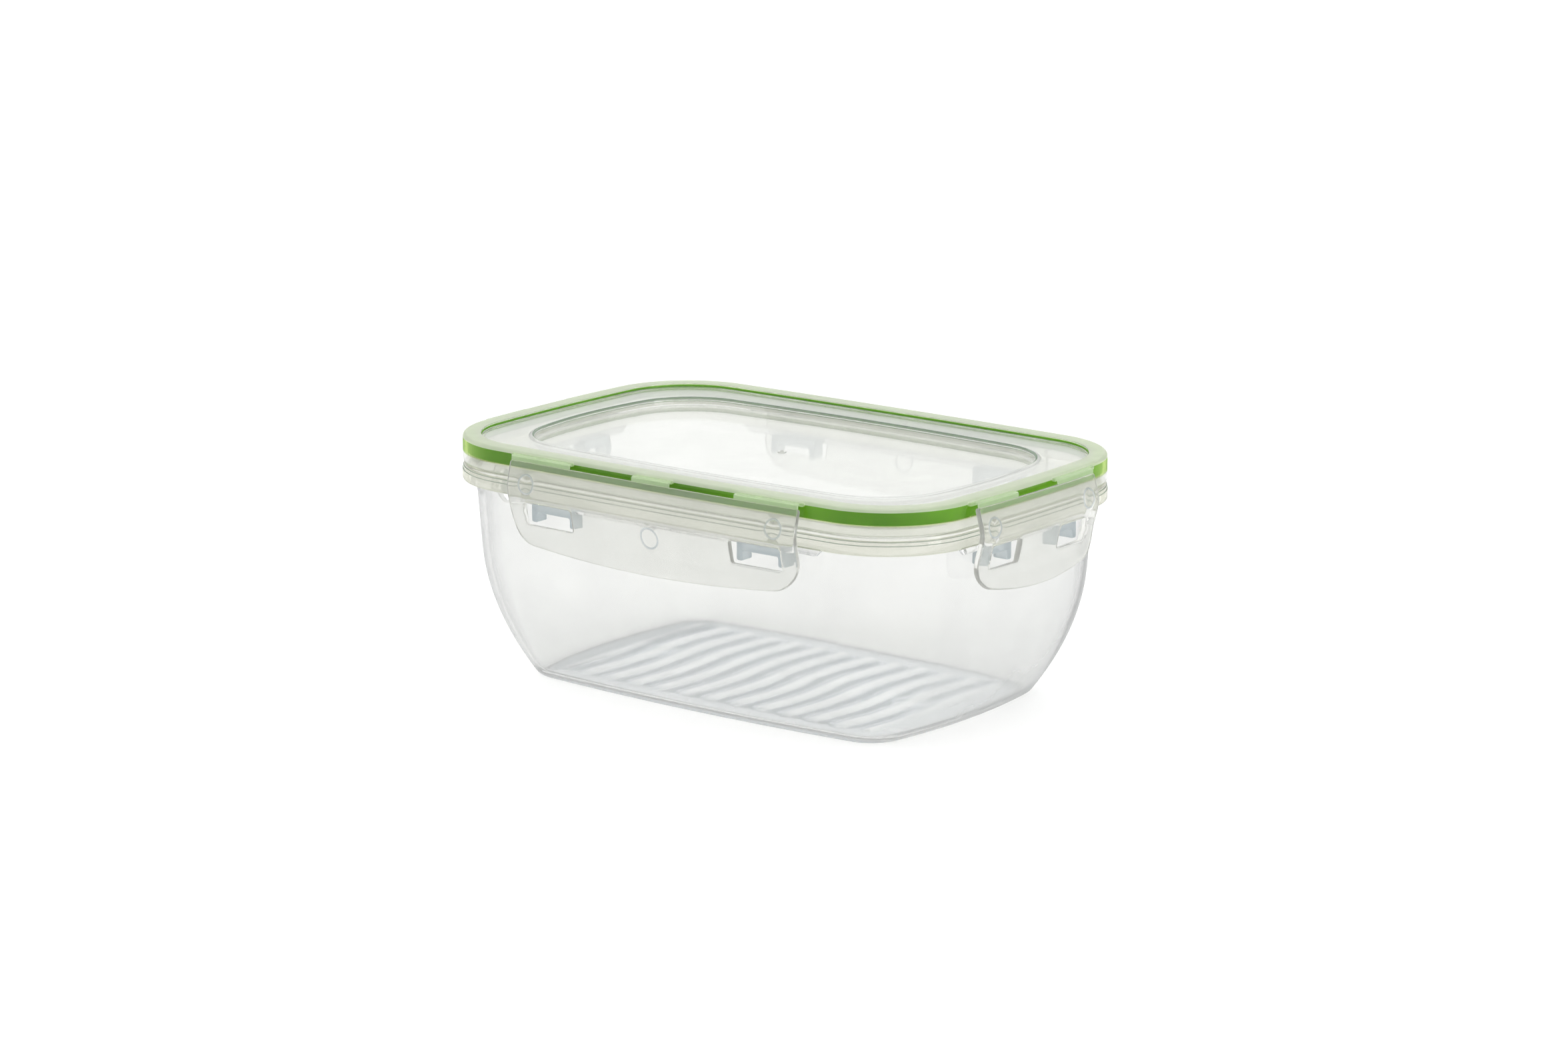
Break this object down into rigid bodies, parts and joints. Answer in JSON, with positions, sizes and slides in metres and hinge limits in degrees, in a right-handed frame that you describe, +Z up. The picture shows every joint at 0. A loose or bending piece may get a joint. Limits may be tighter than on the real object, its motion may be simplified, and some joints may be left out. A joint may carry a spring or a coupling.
{
  "type": "snap lid food container",
  "caption": "Clear rectangular food container with softly bowed sides, a lift-off lid with a green seal ring, and a hinged snap clip on every side.",
  "frame": {"origin": "centre of the footprint, on the surface that the container stands on", "axes": "+X along the long side, to the right as seen from the front; -Y is the front long side; +Z up through the lid"},
  "size_m": [0.211, 0.142, 0.0822],
  "materials": {
    "clear_plastic_tub": "clear, faintly frosted polypropylene, smooth",
    "clear_plastic_lid": "clear, faintly frosted polypropylene, smooth",
    "green_silicone": "bright lime green silicone rubber"
  },
  "bodies": {
    "tub": {"tub": "clear_plastic_tub"},
    "lid": {"lid": "clear_plastic_lid", "gasket": "green_silicone", "front_clip_hinges": "clear_plastic_lid", "right_clip_hinges": "clear_plastic_lid", "back_clip_hinges": "clear_plastic_lid", "left_clip_hinges": "clear_plastic_lid"},
    "front_clip": {"front_clip": "clear_plastic_lid"},
    "right_clip": {"right_clip": "clear_plastic_lid"},
    "back_clip": {"back_clip": "clear_plastic_lid"},
    "left_clip": {"left_clip": "clear_plastic_lid"}
  },
  "joints": [
    {"name": "lid_lift", "type": "slide", "parent": "tub", "child": "lid", "axis": [0, 0, 1], "range_m": [0, 0.06]},
    {"name": "front_clip_hinge", "type": "hinge", "parent": "lid", "child": "front_clip", "pos_m": [0, -0.0685, 0.0804], "axis": [-1, 0, 0], "range_deg": [-3, 150], "deforming": ["front_clip_hinges"]},
    {"name": "right_clip_hinge", "type": "hinge", "parent": "lid", "child": "right_clip", "pos_m": [0.10295, 0, 0.0804], "axis": [0, -1, 0], "range_deg": [-3, 150], "deforming": ["right_clip_hinges"]},
    {"name": "back_clip_hinge", "type": "hinge", "parent": "lid", "child": "back_clip", "pos_m": [0, 0.0685, 0.0804], "axis": [1, 0, 0], "range_deg": [-3, 150], "deforming": ["back_clip_hinges"]},
    {"name": "left_clip_hinge", "type": "hinge", "parent": "lid", "child": "left_clip", "pos_m": [-0.10295, 0, 0.0804], "axis": [0, 1, 0], "range_deg": [-3, 150], "deforming": ["left_clip_hinges"]}
  ]
}
